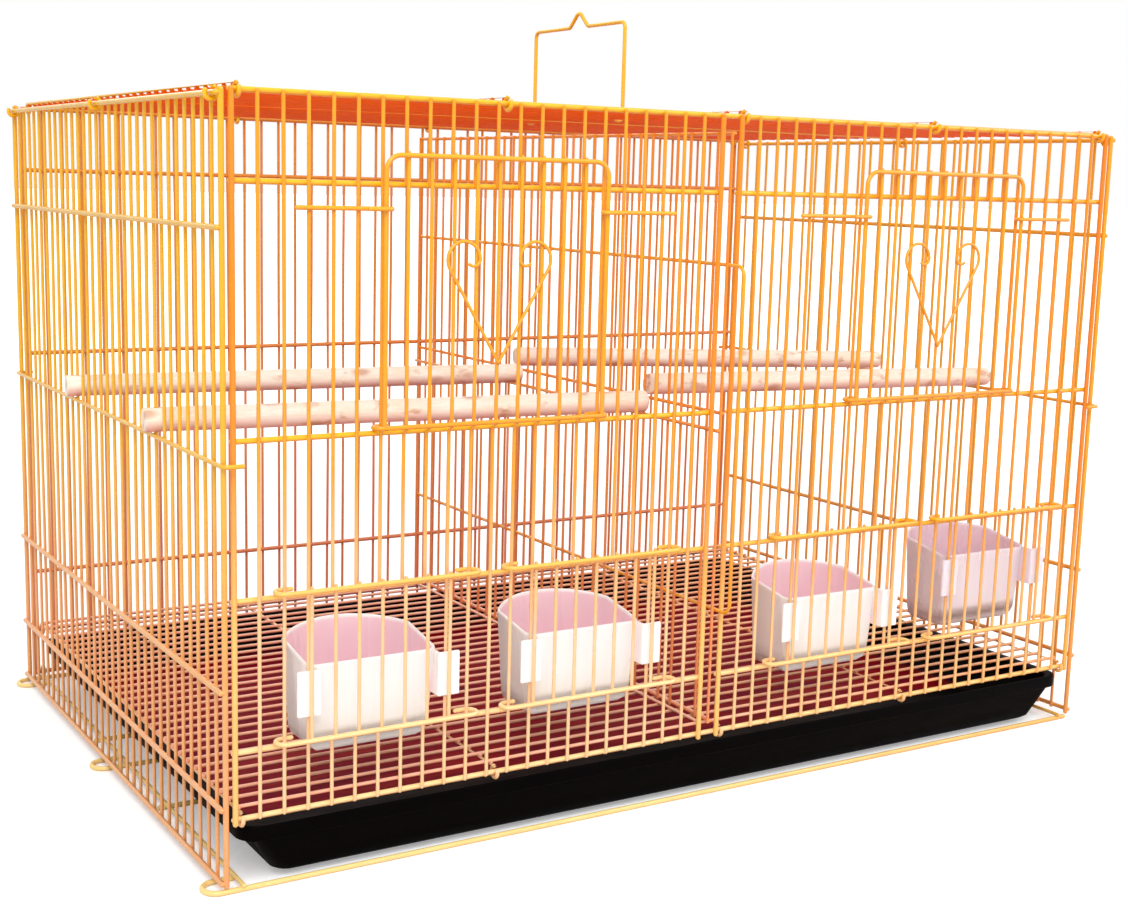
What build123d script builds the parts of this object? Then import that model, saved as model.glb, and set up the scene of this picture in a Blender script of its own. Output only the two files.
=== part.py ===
"""A folding two-bay wire cage for breeding small birds, in millimetres.

The cage stands on z = 0 with its front facing -Y. X runs across the width, Y from front to
back. The origin is on the floor, below the middle of the cage body.
"""

from build123d import *
import math
import os

os.makedirs("parts", exist_ok=True)

# Cage body
cage_width = 600.0  # between the front corner posts
cage_depth = 400.0  # from the front bars to the back bars
cage_height = 400.0  # floor to the top of the front panel
side_gap = 5.0  # from the corner posts out to a side panel's bars

# Wire gauges and how wires meet
bar_wire = 2.0  # thin bars
rail_wire = 3.0  # posts and the rails that the bars are welded to
loop_wire = 2.4  # wires that end in eyes or hooks
frame_wire = 2.5  # frames of doors, gates and the handle
wire_sides = 8  # each wire is drawn as an eight-sided bar, its gauge across the flats
weld_sink = 0.3  # how far crossing wires sink into each other at a weld
run_gap = 0.4  # room between pieces that move past each other
eye_gap = 0.45  # room between an eye and the wire inside it
eye_turn = 290.0  # degrees that an eye goes round

# Bar layout, with the front's bars counted from its left corner post
front_gaps = 46
side_gaps = 31
slot_bar = 22  # the post left of the divider's slot, the next bar is the post right of it

# Heights of the rails, floor to centre line
front_rails = {"upper": 356.0, "middle": 231.0, "feeder_top": 151.0, "feeder_low": 73.0}
front_low = 38.0
side_rails = (334.0, 106.0, 45.0)
side_hook_rail = 220.0
side_bottom = 6.0
back_rails = (358.0, 234.0, 80.0)

# Doors, by the front's bars that their legs stand before
door_spans = ((6, 16), (30, 40))
door_top = 370.5
door_corner = 8.0
guide_height = 344.0
guide_length = 46.0
guide_tail = 10.0
hairpin_tail = 5.0  # length of a hooked end behind its bar
hairpin_back = 3.4  # from the front bars back to a hooked end

# Wire heart on each door
heart_wire = 1.8
heart_width = 61.0
heart_height = 63.0
heart_lobe = 9.4
heart_scroll = 3.8
heart_lobe_turn = 205.0
heart_scroll_turn = 135.0
heart_drop = 42.2  # from the door's top bar down to the top of the heart

# Feeder gates, by the front's bars that their left ends turn round
gate_firsts = (2, 12, 26, 36)
gate_span = 8

# Feed cups
cup_half_width = 37.6
cup_straight = 35.0
cup_depth = 55.0
cup_wall = 1.6
cup_low = 62.0
cup_front_rim = 112.0
cup_back_rim = 122.0
cup_draft = 4.0
cup_corner = 6.0
cup_foot = 5.0
cup_setback = 5.1  # from the front bars back to a cup's face
ear_wall = 1.8
ear_low = 88.0
ear_high = 112.0
ear_root = 3.0  # how far an ear's web reaches behind the cup's face
ear_overhang = 7.0  # past the centre line of the opening's edge bar
cup_lifts = (0.0, 0.0, 0.0, 14.0)

# Divider
divider_bar = 1.8
divider_rail = 2.2
divider_gaps = 30
divider_back = 190.0
divider_headroom = 9.5  # from the front's top rail down to the divider's
left_ledge = 220.2
right_ledge = 230.2
pull_low = 114.0
pull_high = 315.5
pull_reach = 14.0
pull_corner = 6.0

# Perches
perch_diameter = 13.5
perch_chamfer = 0.8
perch_rest = 0.4  # above the wires that it lies on
kerf_width = 3.2
kerf_depth = 10.0
perch_inner = 2.2  # from the divider's middle plane to a perch's inner end
perch_outer = 7.0  # past a side panel's bars
perch_side_bars = (8, 20, 17, 8)  # the side bar in each kerf, counted from the front
perch_ledges = (left_ledge, left_ledge, right_ledge, right_ledge)
perch_skews = (-29.0, -30.0, 22.0, -26.0)  # inner end's shift along Y

# Handle
handle_span = 109.4
handle_rise = 58.0
handle_hump = 10.0
handle_hump_width = 22.0
handle_bend = 4.0
handle_step = 1  # bar gaps that it sits towards the front

# Floor, base and tray
top_gaps = 30
grate_gaps = 30
rail_inset = 3.0  # from the corner posts' line in to a cross bar's end
eye_inset = 1.0  # from a corner post to the eye beside it
eye_step = 3.5  # from the middle plane to the middle eyes
track_play = 0.4
runner_shares = (0.31, 0.63)  # of the depth, from the front
foot_reach = 7.2  # past the corner posts' line, before a foot loop turns
foot_half = 7.5
base_overrun = 3.0
finger_top = 24.0
finger_out = 3.9  # past the base's side rail
tray_rest = 0.3  # above the base's wires
tray_side_gap = 3.0  # from the corner posts' line in to the tray's edge
tray_front_gap = 1.0
tray_back_gap = 6.5
tray_wall = 1.5
tray_flange = 10.0
tray_skirt = 8.0
tray_slope = 30.0  # degrees from upright, at the sides and the back
tray_front_slope = 17.0
tray_corner = 12.0
basin_corner = 8.0
tray_round = 6.0
cut_overrun = 5.0

# Worked-out places
front_y = -cage_depth / 2
back_y = cage_depth / 2
rail_offset = (bar_wire + rail_wire) / 2 - weld_sink
front_rail_y = front_y + rail_offset
back_rail_y = back_y - rail_offset
top_z = cage_height - rail_wire / 2
bar_pitch = cage_width / front_gaps
front_bars = [-cage_width / 2 + bar_pitch * k for k in range(front_gaps + 1)]
corner_posts = (front_bars[0], front_bars[-1])
slot_posts = (front_bars[slot_bar], front_bars[slot_bar + 1])
slot_x = (slot_posts[0] + slot_posts[1]) / 2
side_pitch = cage_depth / side_gaps
side_places = [front_y + side_pitch * k for k in range(side_gaps + 1)]
side_x = cage_width / 2 + side_gap
side_rail_x = side_x + rail_offset
eye_radius = (rail_wire + loop_wire) / 2 + eye_gap
end_eye_x = cage_width / 2 - rail_wire / 2 - loop_wire / 2 - eye_inset
eye_places = (-end_eye_x, -cage_width / 4, eye_step, cage_width / 4, end_eye_x)
cross_half = cage_width / 2 - rail_inset


def wire_round(diameter):
    """One wire's cross-section."""
    RegularPolygon(diameter / 2, wire_sides, major_radius=False, rotation=180 / wire_sides)


def bars_up(places, low, high, diameter):
    """Upright wires at (x, y) places."""
    with BuildSketch(Plane.XY.offset(low)) as section:
        with Locations(*places):
            wire_round(diameter)
    extrude(section.sketch, amount=high - low, clean=False)


def bars_across(places, start, end, diameter):
    """Wires along X at (y, z) places."""
    with BuildSketch(Plane.YZ.offset(start)) as section:
        with Locations(*places):
            wire_round(diameter)
    extrude(section.sketch, amount=end - start, clean=False)


def bars_deep(places, start, end, diameter):
    """Wires along Y at (x, z) places."""
    with BuildSketch(Plane.XZ.offset(-start)) as section:
        with Locations(*places):
            wire_round(diameter)
    extrude(section.sketch, amount=start - end, clean=False)


def sweep_wire(path, diameter):
    """One bent wire along a finished path."""
    with BuildSketch(Plane(path @ 0, z_dir=path % 0)) as section:
        wire_round(diameter)
    sweep(section.sketch, path=path, clean=False)


def bent_wire(plane, points, bend, diameter):
    """A flat wire of straight runs joined by bends of one radius."""
    with BuildLine(plane) as path:
        FilletPolyline(*points, radius=bend)
    sweep_wire(path.line, diameter)


def eyed_wire(plane, start, end, level, curl, radius, diameter):
    """A straight wire with an eye at each end, curled down (-1) or up (1)."""
    with BuildLine(plane) as path:
        CenterArc((start, level + curl * radius), radius, -curl * (90 + eye_turn), curl * eye_turn)
        Line((start, level), (end, level))
        CenterArc((end, level + curl * radius), radius, -curl * 90, curl * eye_turn)
    sweep_wire(path.line, diameter)


def hairpin_bar(level, front, back, left, right, diameter):
    """A bar across the front whose ends turn back round the bars at left and right."""
    middle = (front + back) / 2
    radius = (back - front) / 2
    with BuildLine(Plane.XY.offset(level)) as path:
        Line((left + hairpin_tail, back), (left, back))
        CenterArc((left, middle), radius, 90, 180)
        Line((left, front), (right, front))
        CenterArc((right, middle), radius, -90, 180)
        Line((right, back), (right - hairpin_tail, back))
    sweep_wire(path.line, diameter)


def finish(piece, name):
    """Labels one sub-part and writes its STEP file."""
    piece.part.label = name
    export_step(piece.part, f"parts/{name}.step", write_pcurves=False)


# Doors and gates share the bars of the front
door_y = front_y - bar_wire / 2 - loop_wire + weld_sink - run_gap - frame_wire / 2
grid_step = (frame_wire + bar_wire) / 2 - weld_sink
door_grid_y = door_y + grid_step
ear_y = front_y - bar_wire / 2 - run_gap - ear_wall
gate_grid_y = ear_y - run_gap - bar_wire / 2
gate_y = gate_grid_y - grid_step
hairpin_y = front_y + hairpin_back
door_edges = [(front_bars[first], front_bars[last]) for first, last in door_spans]
door_low = front_rails["middle"] + rail_wire / 2 + eye_gap + frame_wire / 2
gate_high = front_rails["feeder_top"] + rail_wire / 2 + eye_gap + frame_wire / 2
gate_low = front_rails["feeder_low"] + rail_wire / 2 + eye_gap + frame_wire / 2
gate_edges = [(front_bars[k], front_bars[k + gate_span]) for k in gate_firsts]
feeder_edges = [(front_bars[k + 1], front_bars[k + gate_span - 1]) for k in gate_firsts]


def opening(left, right, low_rail, high_rail):
    """A cut between two upright bars and two rails, drawn on the front."""
    low = low_rail + rail_wire / 2
    high = high_rail - rail_wire / 2
    with Locations(((left + right) / 2, (low + high) / 2)):
        Rectangle(right - left, high - low)


# Front panel, welded up whole and then cut open at the slot, doors and gates
with BuildPart() as front_panel:
    thin_bars = [x for x in front_bars if x not in corner_posts + slot_posts]
    bars_up([(x, front_y) for x in thin_bars], front_low, top_z, bar_wire)
    posts = [(x, front_y) for x in corner_posts + slot_posts]
    bars_up(posts, front_low - rail_wire / 2, cage_height, rail_wire)
    rail_heights = (front_low, *front_rails.values(), top_z)
    rail_places = [(front_rail_y, z) for z in rail_heights]
    bars_across(rail_places, -cage_width / 2, cage_width / 2, rail_wire)
    with BuildSketch(Plane.XZ.offset(cut_overrun - front_y)) as openings:
        post_half = rail_wire / 2
        opening(slot_posts[0] + post_half, slot_posts[1] - post_half, front_low, top_z)
        for left, right in door_edges:
            door_rails = (front_rails["middle"], front_rails["upper"])
            opening(left + bar_wire, right - bar_wire, *door_rails)
        for left, right in feeder_edges:
            feeder_rails = (front_rails["feeder_low"], front_rails["feeder_top"])
            opening(left + bar_wire, right - bar_wire, *feeder_rails)
    extrude(openings.sketch, amount=-3 * cut_overrun, mode=Mode.SUBTRACT)
finish(front_panel, "front_panel")

# Guide hooks that hold the doors' legs
guide_y = front_y - (bar_wire + loop_wire) / 2 + weld_sink
guide_radius = guide_y - door_y

with BuildPart() as door_guides:
    for edges in door_edges:
        for leg_x, turn in zip(edges, (-1, 1)):
            with BuildLine(Plane.XY.offset(guide_height)) as hook:
                Line((leg_x + turn * guide_length, guide_y), (leg_x, guide_y))
                bend = CenterArc((leg_x, door_y), guide_radius, 90, turn * 180)
                Line(bend @ 1, (leg_x + turn * guide_tail, door_y - guide_radius))
            sweep_wire(hook.line, loop_wire)
finish(door_guides, "door_guides")

# Back panel
base_rail_z = rail_wire + loop_wire / 2 - weld_sink
back_foot = base_rail_z + eye_radius

with BuildPart() as back_panel:
    back_thin = [(x, back_y) for x in front_bars[1:-1]]
    bars_up(back_thin, back_foot - rail_wire / 2, cage_height, bar_wire)
    back_posts = [(x, back_y) for x in corner_posts]
    bars_up(back_posts, back_foot - rail_wire / 2, cage_height, rail_wire)
    back_heights = (back_foot, front_low, *back_rails, top_z)
    back_places = [(back_rail_y, z) for z in back_heights]
    bars_across(back_places, -cage_width / 2, cage_width / 2, rail_wire)
finish(back_panel, "back_panel")

# Top panel
top_eye_z = top_z + eye_radius
top_bar_z = top_eye_z - (loop_wire + bar_wire) / 2 + weld_sink
side_eye_z = top_eye_z - loop_wire + weld_sink
side_top_z = side_eye_z - eye_radius
cross_places = (front_y + side_pitch / 2, 0, back_y - side_pitch / 2)
top_pitch = 2 * cross_places[-1] / top_gaps
top_places = [cross_places[0] + top_pitch * k for k in range(top_gaps + 1)]

with BuildPart() as top_panel:
    thin_places = [y for y in top_places if min(abs(y - c) for c in cross_places) > bar_wire]
    bars_across([(y, top_bar_z) for y in thin_places], -cross_half, cross_half, bar_wire)
    for x in eye_places:
        plane = Plane.YZ.offset(x)
        eyed_wire(plane, front_rail_y, back_rail_y, top_eye_z, -1, eye_radius, loop_wire)
    for y in cross_places:
        plane = Plane.XZ.offset(-y)
        eyed_wire(plane, -side_rail_x, side_rail_x, side_eye_z, -1, eye_radius, loop_wire)
finish(top_panel, "top_panel")

# Side panels, which swing out from the top
hook_x = side_x + (bar_wire + loop_wire) / 2 - weld_sink
hook_reach = rail_wire + loop_wire
hook_tip = cage_width / 2 - rail_wire

for side, name in ((-1, "side_panel_left"), (1, "side_panel_right")):
    with BuildPart() as side_panel:
        thin_bars = [(side * side_x, y) for y in side_places[1:-1]]
        bars_up(thin_bars, side_bottom - rail_wire / 2, side_top_z + rail_wire / 2, bar_wire)
        end_posts = [(side * side_x, y) for y in (front_y, back_y)]
        bars_up(end_posts, side_bottom - rail_wire / 2, side_top_z + rail_wire / 2, rail_wire)
        rails = [(side * side_rail_x, z) for z in (side_bottom, *side_rails, side_top_z)]
        bars_deep(rails, front_y, back_y, rail_wire)
        hook_ends = (
            (side * hook_tip, front_y - hook_reach),
            (side * hook_x, front_y - hook_reach),
            (side * hook_x, back_y + hook_reach),
            (side * hook_tip, back_y + hook_reach),
        )
        bent_wire(Plane.XY.offset(side_hook_rail), hook_ends, rail_wire, loop_wire)
    finish(side_panel, name)

# Floor grate
grate_eye_z = front_low + eye_radius
grate_bar_z = grate_eye_z + (loop_wire + bar_wire) / 2 - weld_sink
grate_half = cross_places[-1]
grate_pitch = 2 * grate_half / grate_gaps
grate_places = [(-grate_half + grate_pitch * k, grate_bar_z) for k in range(grate_gaps + 1)]

with BuildPart() as floor_grate:
    bars_across(grate_places, -cross_half, cross_half, bar_wire)
    for x in eye_places:
        plane = Plane.YZ.offset(x)
        eyed_wire(plane, front_rail_y, back_rail_y, grate_eye_z, -1, eye_radius, loop_wire)
finish(floor_grate, "floor_grate")

# Track that the divider's bottom rail runs in
divider_rail_x = (divider_bar + divider_rail) / 2 - weld_sink
track_x = divider_rail_x + divider_rail / 2 + track_play + bar_wire / 2
track_z = grate_bar_z + bar_wire - weld_sink

with BuildPart() as divider_track:
    track = [(slot_x + side * track_x, track_z) for side in (-1, 1)]
    bars_deep(track, -grate_half, grate_half, bar_wire)
finish(divider_track, "divider_track")

# Base frame with its three foot loops on the left
base_z = rail_wire / 2
foot_lines = ((front_y, 1), (0, 1), (back_y, -1))
runner_places = [(front_y + share * cage_depth, base_z) for share in runner_shares]
foot_x = -cage_width / 2 - foot_reach

with BuildPart() as base_frame:
    for y, inward in foot_lines:
        with BuildLine(Plane.XY.offset(base_z)) as foot:
            Line((cage_width / 2 + base_overrun, y), (foot_x, y))
            bend = CenterArc((foot_x, y + inward * foot_half), foot_half, -inward * 90,
                             -inward * 180)
            Line(bend @ 1, (-end_eye_x, y + inward * 2 * foot_half))
        sweep_wire(foot.line, rail_wire)
    bars_across(runner_places, -cage_width / 2, cage_width / 2, rail_wire)
    for x in (-end_eye_x, end_eye_x):
        with BuildLine(Plane.YZ.offset(x)) as base_rail:
            Line((front_y - base_overrun / 2, base_rail_z), (back_rail_y, base_rail_z))
            CenterArc((back_rail_y, back_foot), eye_radius, -90, eye_turn)
        sweep_wire(base_rail.line, loop_wire)
    bars_up([(-end_eye_x - finger_out, 0)], base_z, finger_top, loop_wire)
finish(base_frame, "base_frame")

# Main doors with their hearts
heart_y = door_grid_y - (bar_wire + heart_wire) / 2 + weld_sink
lobe_x = heart_width / 2 - heart_lobe
lobe_z = heart_height - heart_lobe
lobe_distance = math.hypot(lobe_x, lobe_z)
lobe_angle = math.atan2(lobe_z, lobe_x) - math.asin(heart_lobe / lobe_distance)
flank = math.sqrt(lobe_distance**2 - heart_lobe**2)
flank_top = (flank * math.cos(lobe_angle), flank * math.sin(lobe_angle))

for (left, right), word in zip(door_edges, ("left", "right")):
    with BuildPart() as main_door:
        arch = ((left, door_low), (left, door_top), (right, door_top), (right, door_low))
        bent_wire(Plane.XZ.offset(-door_y), arch, door_corner, frame_wire)
        grid = [(x, door_grid_y) for x in front_bars if left < x < right]
        bars_up(grid, door_low - frame_wire / 2, door_top + frame_wire / 2, bar_wire)
        hairpin_bar(door_low, door_y, hairpin_y, left, right, frame_wire)
    finish(main_door, f"main_door_{word}")

    middle = (left + right) / 2
    heart_tip = Vector(middle, heart_y, door_top - heart_drop - heart_height)
    with BuildPart() as door_heart:
        with BuildLine(Plane(heart_tip, x_dir=(1, 0, 0), z_dir=(0, -1, 0))) as half_heart:
            edge = Line((0, 0), flank_top)
            lobe = JernArc(flank_top, edge % 1, heart_lobe, heart_lobe_turn)
            JernArc(lobe @ 1, lobe % 1, heart_scroll, heart_scroll_turn)
        sweep_wire(half_heart.line, heart_wire)
        mirror(about=Plane.YZ.offset(middle))
    finish(door_heart, f"door_heart_{word}")

# Feeder gates
for number, (left, right) in enumerate(gate_edges, start=1):
    with BuildPart() as feeder_gate:
        grid = [(x, gate_grid_y) for x in front_bars if left < x < right]
        bars_up(grid, gate_low - frame_wire / 2, gate_high + frame_wire / 2, bar_wire)
        hairpin_bar(gate_low, gate_y, hairpin_y, left, right, frame_wire)
        hairpin_bar(gate_high, gate_y, hairpin_y, left, right, frame_wire)
    finish(feeder_gate, f"feeder_gate_{number}")

# Feed cups
cup_face_y = front_y + cup_setback
rim_slope = (cup_back_rim - cup_front_rim) / cup_depth
cup_narrowing = math.tan(math.radians(cup_draft))


def cup_outline(middle, level, inset):
    """The cup seen from above: a flat face, short straight sides and a round back."""
    half = cup_half_width - inset
    front = cup_face_y + inset
    straight = cup_face_y + cup_straight
    with BuildSketch(Plane.XY.offset(level)) as section:
        with BuildLine() as outline:
            Polyline((middle - half, straight), (middle - half, front), (middle + half, front),
                     (middle + half, straight))
            ThreePointArc((middle + half, straight), (middle, cup_face_y + cup_depth - inset),
                          (middle - half, straight))
        make_face()
        fillet(section.vertices().group_by(Axis.Y)[0], cup_corner)
    return section.sketch


def cup_body(middle, low, high, inset, mode):
    """A tapered solid of the cup's outline with its lower edge drawn in."""
    narrowed = inset + cup_narrowing * (high - low)
    levels = ((low, narrowed + cup_foot), (low + cup_foot, narrowed), (high, inset))
    sections = [cup_outline(middle, level, drawn_in) for level, drawn_in in levels]
    loft(sections, ruled=True, mode=mode)


for number, (edges, lift) in enumerate(zip(feeder_edges, cup_lifts), start=1):
    middle = (edges[0] + edges[1]) / 2
    ear_x = edges[1] - middle + ear_overhang
    web_x = cup_half_width - cup_narrowing * (cup_back_rim - ear_low)
    with BuildPart() as feed_cup:
        rim_z = cup_back_rim + lift
        cup_body(middle, cup_low + lift, rim_z, 0, Mode.ADD)
        cup_body(middle, cup_low + cup_wall + lift, rim_z, cup_wall, Mode.SUBTRACT)
        rim_point = (middle, cup_face_y, cup_front_rim + lift)
        rim_plane = Plane(rim_point, x_dir=(1, 0, 0), z_dir=(0, -rim_slope, 1))
        split(bisect_by=rim_plane, keep=Keep.BOTTOM)
        with BuildSketch(Plane.XY.offset(ear_low + lift)):
            for side in (-1, 1):
                web_middle = middle + side * (web_x - ear_wall / 2)
                with Locations((web_middle, ear_y)):
                    web_length = cup_face_y + ear_root - ear_y
                    Rectangle(ear_wall, web_length, align=(Align.CENTER, Align.MIN))
                ear_length = ear_x - web_x + ear_wall
                with Locations((middle + side * (ear_x - ear_length / 2), ear_y)):
                    Rectangle(ear_length, ear_wall, align=(Align.CENTER, Align.MIN))
        extrude(amount=ear_high - ear_low)
    finish(feed_cup, f"feed_cup_{number}")

# Divider, which slides out through the slot
divider_foot = grate_bar_z + bar_wire / 2 + run_gap
divider_low = divider_foot + divider_rail / 2
divider_top = top_z - divider_headroom

with BuildPart() as divider:
    divider_step = (divider_back - front_y) / divider_gaps
    uprights = [(slot_x, front_y + divider_step * k) for k in range(divider_gaps + 1)]
    bars_up(uprights, divider_foot, divider_top + divider_rail / 2, divider_bar)
    edge_rails = [(slot_x + divider_rail_x, z) for z in (divider_low, divider_top)]
    ledges = [(slot_x - divider_rail_x, left_ledge), (slot_x + divider_rail_x, right_ledge)]
    bars_deep(edge_rails + ledges, front_y, divider_back, divider_rail)
    pull_front = front_y - pull_reach
    pull = ((divider_back, pull_high), (pull_front, pull_high),
            (pull_front, pull_low), (divider_back, pull_low))
    bent_wire(Plane.YZ.offset(slot_x + divider_rail_x), pull, pull_corner, divider_rail)
finish(divider, "divider")

# Perches, each notched over a bar of its side panel
perch_rise = perch_rest + perch_diameter / 2

perch_rows = zip((-1, -1, 1, 1), perch_side_bars, perch_skews, perch_ledges)
for number, (side, bar, skew, ledge) in enumerate(perch_rows, start=1):
    outer_z = side_hook_rail + loop_wire / 2 + perch_rise
    inner_z = ledge + divider_rail / 2 + perch_rise
    outer = Vector(side * side_x, side_places[bar], outer_z)
    inner = Vector(slot_x + side * perch_inner, side_places[bar] + skew, inner_z)
    along = (inner - outer).normalized()
    start = outer - along * perch_outer
    length = (inner - start).length
    with BuildPart() as perch:
        with BuildSketch(Plane(start, z_dir=along)):
            Circle(perch_diameter / 2)
        extrude(amount=length)
        chamfer(perch.edges(), perch_chamfer)
        with BuildSketch(Plane(start, x_dir=(0, 0, 1), z_dir=along)):
            Rectangle(perch_diameter + cut_overrun, kerf_width)
        extrude(amount=kerf_depth, mode=Mode.SUBTRACT)
    finish(perch, f"perch_{number}")

# Tray
tray_low = rail_wire + tray_rest
tray_top = front_low - eye_radius - loop_wire / 2 - run_gap
tray_front = front_y - tray_front_gap
tray_length = back_y - tray_back_gap - tray_front
tray_back = tray_front + tray_length
tray_middle = (0, tray_front + tray_length / 2)
tray_width = cage_width - 2 * tray_side_gap
skirt_z = tray_top - tray_skirt
wall_inset = tray_flange - tray_wall


def tray_plate(inset):
    """The tray seen from above, drawn in by an inset."""
    with Locations(tray_middle):
        RectangleRounded(tray_width - 2 * inset, tray_length - 2 * inset, tray_corner - inset)


def basin_outline(inset, front_inset, level):
    """The basin seen from above, drawn in by one inset at its front and one elsewhere."""
    length = tray_length - inset - front_inset
    with BuildSketch(Plane.XY.offset(level)) as outline:
        with Locations((0, (tray_front + front_inset + tray_back - inset) / 2)):
            RectangleRounded(tray_width - 2 * inset, length, basin_corner)
    return outline.sketch


def basin(inset, front_inset, low, mode):
    """The basin below the skirt, with a steep front wall and sloping sides and back."""
    drawn_in = (skirt_z - low) * math.tan(math.radians(tray_slope))
    front_drawn_in = (skirt_z - low) * math.tan(math.radians(tray_front_slope))
    upper = basin_outline(inset, front_inset, skirt_z)
    lower = basin_outline(inset + drawn_in, front_inset + front_drawn_in, low)
    loft([upper, lower], ruled=True, mode=mode)


with BuildPart() as tray:
    with BuildSketch(Plane.XY.offset(skirt_z)):
        tray_plate(0)
    extrude(amount=tray_skirt)
    with BuildSketch(Plane.XY.offset(skirt_z)):
        tray_plate(tray_wall)
        add(basin_outline(wall_inset, 0, skirt_z), mode=Mode.SUBTRACT)
    extrude(amount=tray_skirt - tray_wall, mode=Mode.SUBTRACT)
    basin(wall_inset, 0, tray_low, Mode.ADD)
    fillet(tray.faces().sort_by(Axis.Z)[0].edges(), tray_round)
    basin(tray_flange, tray_wall, tray_low + tray_wall, Mode.SUBTRACT)
    extrude(basin_outline(tray_flange, tray_wall, skirt_z), amount=tray_skirt, mode=Mode.SUBTRACT)
finish(tray, "tray")

# Carrying handle, a bail whose eyes turn on the top's middle wire
handle_radius = (loop_wire + frame_wire) / 2 + eye_gap
handle_y = -handle_step * top_pitch
handle_half = handle_span / 2
handle_top = top_eye_z + handle_rise

with BuildPart() as handle:
    hump_half = handle_hump_width / 2
    bail = ((handle_y - handle_half, top_eye_z), (handle_y - handle_half, handle_top),
            (handle_y - hump_half, handle_top), (handle_y, handle_top + handle_hump),
            (handle_y + hump_half, handle_top), (handle_y + handle_half, handle_top),
            (handle_y + handle_half, top_eye_z))
    bent_wire(Plane.YZ.offset(eye_step + handle_radius), bail, handle_bend, frame_wire)
    for end in (-1, 1):
        with BuildLine(Plane.XZ.offset(-handle_y - end * handle_half)) as eye:
            CenterArc((eye_step, top_eye_z), handle_radius, 0, -eye_turn)
        sweep_wire(eye.line, frame_wire)
finish(handle, "handle")
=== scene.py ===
"""The finish of a folding two-bay wire bird cage.

Every wire is drawn again as a round, coated wire with its welds. The cups, the tray and the
perches get their rounded edges. Sizes are in metres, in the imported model's frame: the front
faces -Y and the floor is at z = 0.
"""

import math
import random

import bmesh
import bpy
from mathutils import Matrix, Vector, noise


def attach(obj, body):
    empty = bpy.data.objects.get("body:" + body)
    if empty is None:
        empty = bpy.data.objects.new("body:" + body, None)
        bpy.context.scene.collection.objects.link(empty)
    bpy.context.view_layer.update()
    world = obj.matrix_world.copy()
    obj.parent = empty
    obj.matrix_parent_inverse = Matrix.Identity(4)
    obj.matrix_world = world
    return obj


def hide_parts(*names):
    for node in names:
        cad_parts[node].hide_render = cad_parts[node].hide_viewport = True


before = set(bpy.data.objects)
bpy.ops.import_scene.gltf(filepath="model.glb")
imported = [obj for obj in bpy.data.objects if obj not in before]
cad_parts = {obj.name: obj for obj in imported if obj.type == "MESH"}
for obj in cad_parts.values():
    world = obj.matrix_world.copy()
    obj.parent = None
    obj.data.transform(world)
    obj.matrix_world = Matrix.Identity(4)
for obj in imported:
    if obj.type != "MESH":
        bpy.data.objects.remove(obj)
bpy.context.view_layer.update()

mm = 0.001
X, Y, Z = Vector((1, 0, 0)), Vector((0, 1, 0)), Vector((0, 0, 1))

# Cage body
cage_width = 600 * mm
cage_depth = 400 * mm
cage_height = 400 * mm
side_gap = 5 * mm

# Wire gauges, welds and eyes
bar_wire = 2.0 * mm
rail_wire = 3.0 * mm
loop_wire = 2.4 * mm
frame_wire = 2.5 * mm
heart_wire = 1.8 * mm
weld_sink = 0.3 * mm
bead_size = Vector((1.35, 1.25, 1.35)) * mm
run_gap = 0.4 * mm
eye_gap = 0.45 * mm
eye_turn = 290.0

# Rails, floor to centre line
front_top = 398.5 * mm
front_upper = 356 * mm
front_middle = 231 * mm
feeder_top = 151 * mm
feeder_low = 73 * mm
front_low = 38 * mm
side_rails = (334 * mm, 106 * mm, 45 * mm)
side_hook_rail = 220 * mm
side_bottom = 6 * mm
back_rails = (358 * mm, 234 * mm, 80 * mm)

# Bars along the front, counted from its left corner post, and along each side, and the rows of
# bars across the top and the grate
front_gaps = 46
side_gaps = 31
row_gaps = 30
slot_bar = 22
bar_pitch = cage_width / front_gaps
side_pitch = cage_depth / side_gaps

# Places worked out from the sizes
half_width = cage_width / 2
front_y, back_y = -cage_depth / 2, cage_depth / 2
rail_offset = (bar_wire + rail_wire) / 2 - weld_sink
front_rail_y, back_rail_y = front_y + rail_offset, back_y - rail_offset
side_x = half_width + side_gap
side_rail_x = side_x + rail_offset
eye_radius = (rail_wire + loop_wire) / 2 + eye_gap
end_eye_x = half_width - rail_wire / 2 - loop_wire / 2 - 1 * mm
end_eyes = (-end_eye_x, end_eye_x)
eye_step = 3.5 * mm
eye_places = (-end_eye_x, -half_width / 2, eye_step, half_width / 2, end_eye_x)
cross_half = half_width - 3 * mm
front_bars = [-half_width + bar_pitch * k for k in range(front_gaps + 1)]
slot_posts = (front_bars[slot_bar], front_bars[slot_bar + 1])
front_posts = (front_bars[0], *slot_posts, front_bars[-1])
slot_x = sum(slot_posts) / 2
side_bars = [front_y + side_pitch * k for k in range(side_gaps + 1)]
row_end = back_y - side_pitch / 2
row_pitch = 2 * row_end / row_gaps
rows = [-row_end + row_pitch * k for k in range(row_gaps + 1)]


# Paths of wires

def arc(centre, across, up, radius, start, turn, steps):
    """Points round a centre, from an angle through a turn, both in degrees."""
    angles = [math.radians(start + turn * k / steps) for k in range(steps + 1)]
    return [Vector(centre) + radius * (across * math.cos(a) + up * math.sin(a)) for a in angles]


def straight(axis, low, high, places):
    """Straight wires along axis 0, 1 or 2, one at each place on the two other axes."""
    return [[(*place[:axis], end, *place[axis:]) for end in (low, high)] for place in places]


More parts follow.
